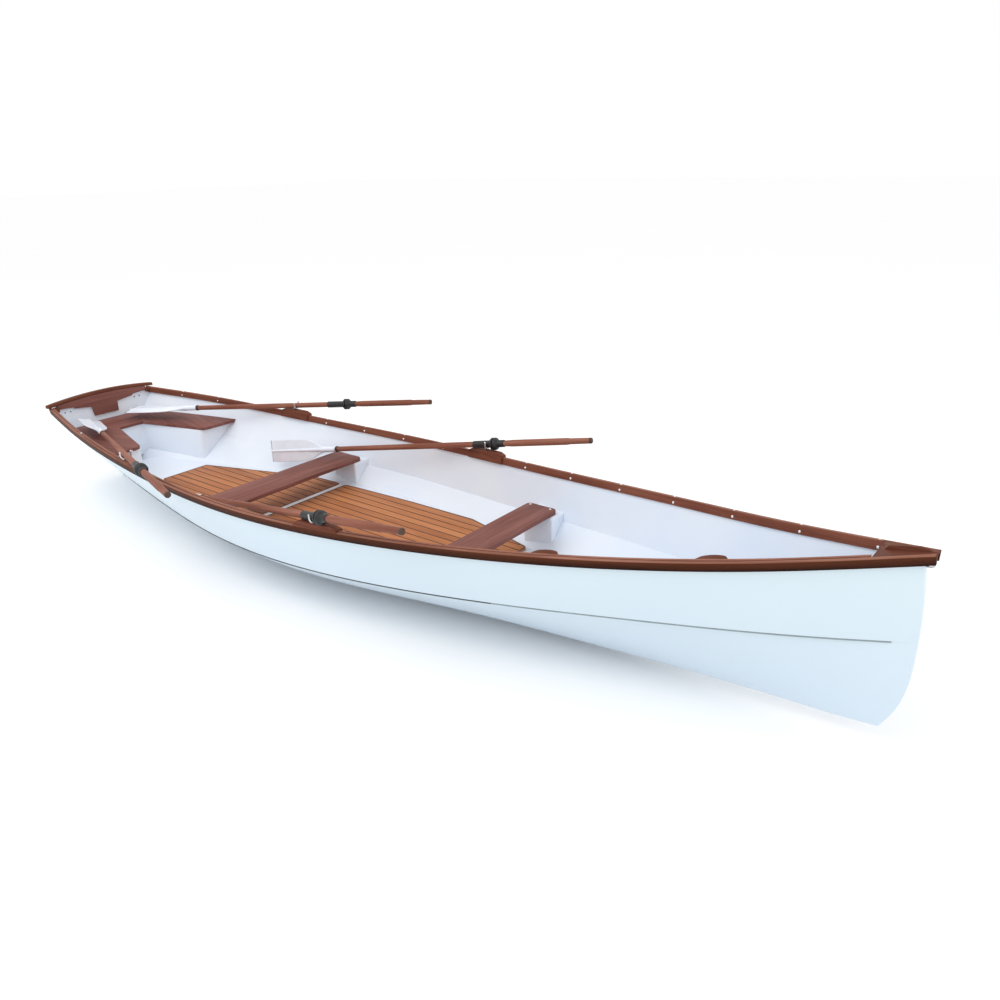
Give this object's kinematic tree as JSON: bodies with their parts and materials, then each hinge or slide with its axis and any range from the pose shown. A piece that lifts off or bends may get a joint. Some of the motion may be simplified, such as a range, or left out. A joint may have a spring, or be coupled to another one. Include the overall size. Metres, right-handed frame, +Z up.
{
  "type": "whitehall rowing boat",
  "caption": "Slim open whitehall rowing boat with a white moulded hull, mahogany rails, thwarts and stern seat, teak floor panels and oars resting in swivelling rowlocks",
  "frame": {"origin": "On the boat's centre plane amidships, 115 mm above the lowest point of the skeg's foot: the boat's rest waterline at the centre of its length.", "axes": "+X runs forward to the bow, +Y to port and +Z up."},
  "size_m": [5.055, 1.8041, 0.7682],
  "materials": {
    "white_gelcoat": "glossy bluish white gelcoat",
    "white_moulding": "glossy white moulded plastic",
    "mahogany": "satin varnished mahogany",
    "teak": "oiled teak strips with dark caulked seams",
    "loom_wood": "gloss varnished dark wood",
    "black_sleeve": "satin black plastic",
    "white_blade": "glossy white plastic",
    "stainless": "polished stainless steel"
  },
  "bodies": {
    "boat": {"hull_shell": "white_gelcoat", "keel_skeg": "white_gelcoat", "sole": "white_moulding", "stern_seat_mould": "white_moulding", "floor_panel_aft": "teak", "floor_panel_forward": "teak", "thwart_aft": "mahogany", "thwart_forward": "mahogany", "stern_seat_aft": "mahogany", "stern_seat_port": "mahogany", "stern_seat_starboard": "mahogany", "gunwale_outer_port": "mahogany", "gunwale_outer_starboard": "mahogany", "gunwale_inner_port": "mahogany", "gunwale_inner_starboard": "mahogany", "transom_cap": "mahogany", "transom_board": "mahogany", "breasthook": "mahogany", "bow_eye": "stainless", "gunwale_pad_1": "mahogany", "gunwale_pad_2": "mahogany", "thwart_pedestal_aft_port": "white_moulding", "rowlock_block_aft_port": "mahogany", "thwart_pedestal_aft_starboard": "white_moulding", "rowlock_block_aft_starboard": "mahogany", "thwart_pedestal_forward_port": "white_moulding", "rowlock_block_forward_port": "mahogany", "thwart_pedestal_forward_starboard": "white_moulding", "rowlock_block_forward_starboard": "mahogany"},
    "oar_set_aft_port": {"rowlock_aft_port": "stainless", "oar_loom_aft_port": "loom_wood", "oar_sleeve_aft_port": "black_sleeve", "oar_blade_aft_port": "white_blade"},
    "oar_set_aft_starboard": {"rowlock_aft_starboard": "stainless", "oar_loom_aft_starboard": "loom_wood", "oar_sleeve_aft_starboard": "black_sleeve", "oar_blade_aft_starboard": "white_blade"},
    "oar_set_forward_port": {"rowlock_forward_port": "stainless", "oar_loom_forward_port": "loom_wood", "oar_sleeve_forward_port": "black_sleeve", "oar_blade_forward_port": "white_blade"},
    "oar_set_forward_starboard": {"rowlock_forward_starboard": "stainless", "oar_loom_forward_starboard": "loom_wood", "oar_sleeve_forward_starboard": "black_sleeve", "oar_blade_forward_starboard": "white_blade"}
  },
  "joints": [
    {"name": "rowlock_swivel_aft_port", "type": "hinge", "parent": "boat", "child": "oar_set_aft_port", "pos_m": [-1.234, 0.569, 0.3699], "axis": [0, 0, 1], "range_deg": [-6, 2.5]},
    {"name": "rowlock_swivel_aft_starboard", "type": "hinge", "parent": "boat", "child": "oar_set_aft_starboard", "pos_m": [-1.234, -0.569, 0.3699], "axis": [0, 0, 1], "range_deg": [-2.5, 3.5]},
    {"name": "rowlock_swivel_forward_port", "type": "hinge", "parent": "boat", "child": "oar_set_forward_port", "pos_m": [0.259, 0.5845, 0.384], "axis": [0, 0, 1], "range_deg": [-3, 4]},
    {"name": "rowlock_swivel_forward_starboard", "type": "hinge", "parent": "boat", "child": "oar_set_forward_starboard", "pos_m": [0.259, -0.5845, 0.384], "axis": [0, 0, 1], "range_deg": [-6, 0.4]}
  ]
}
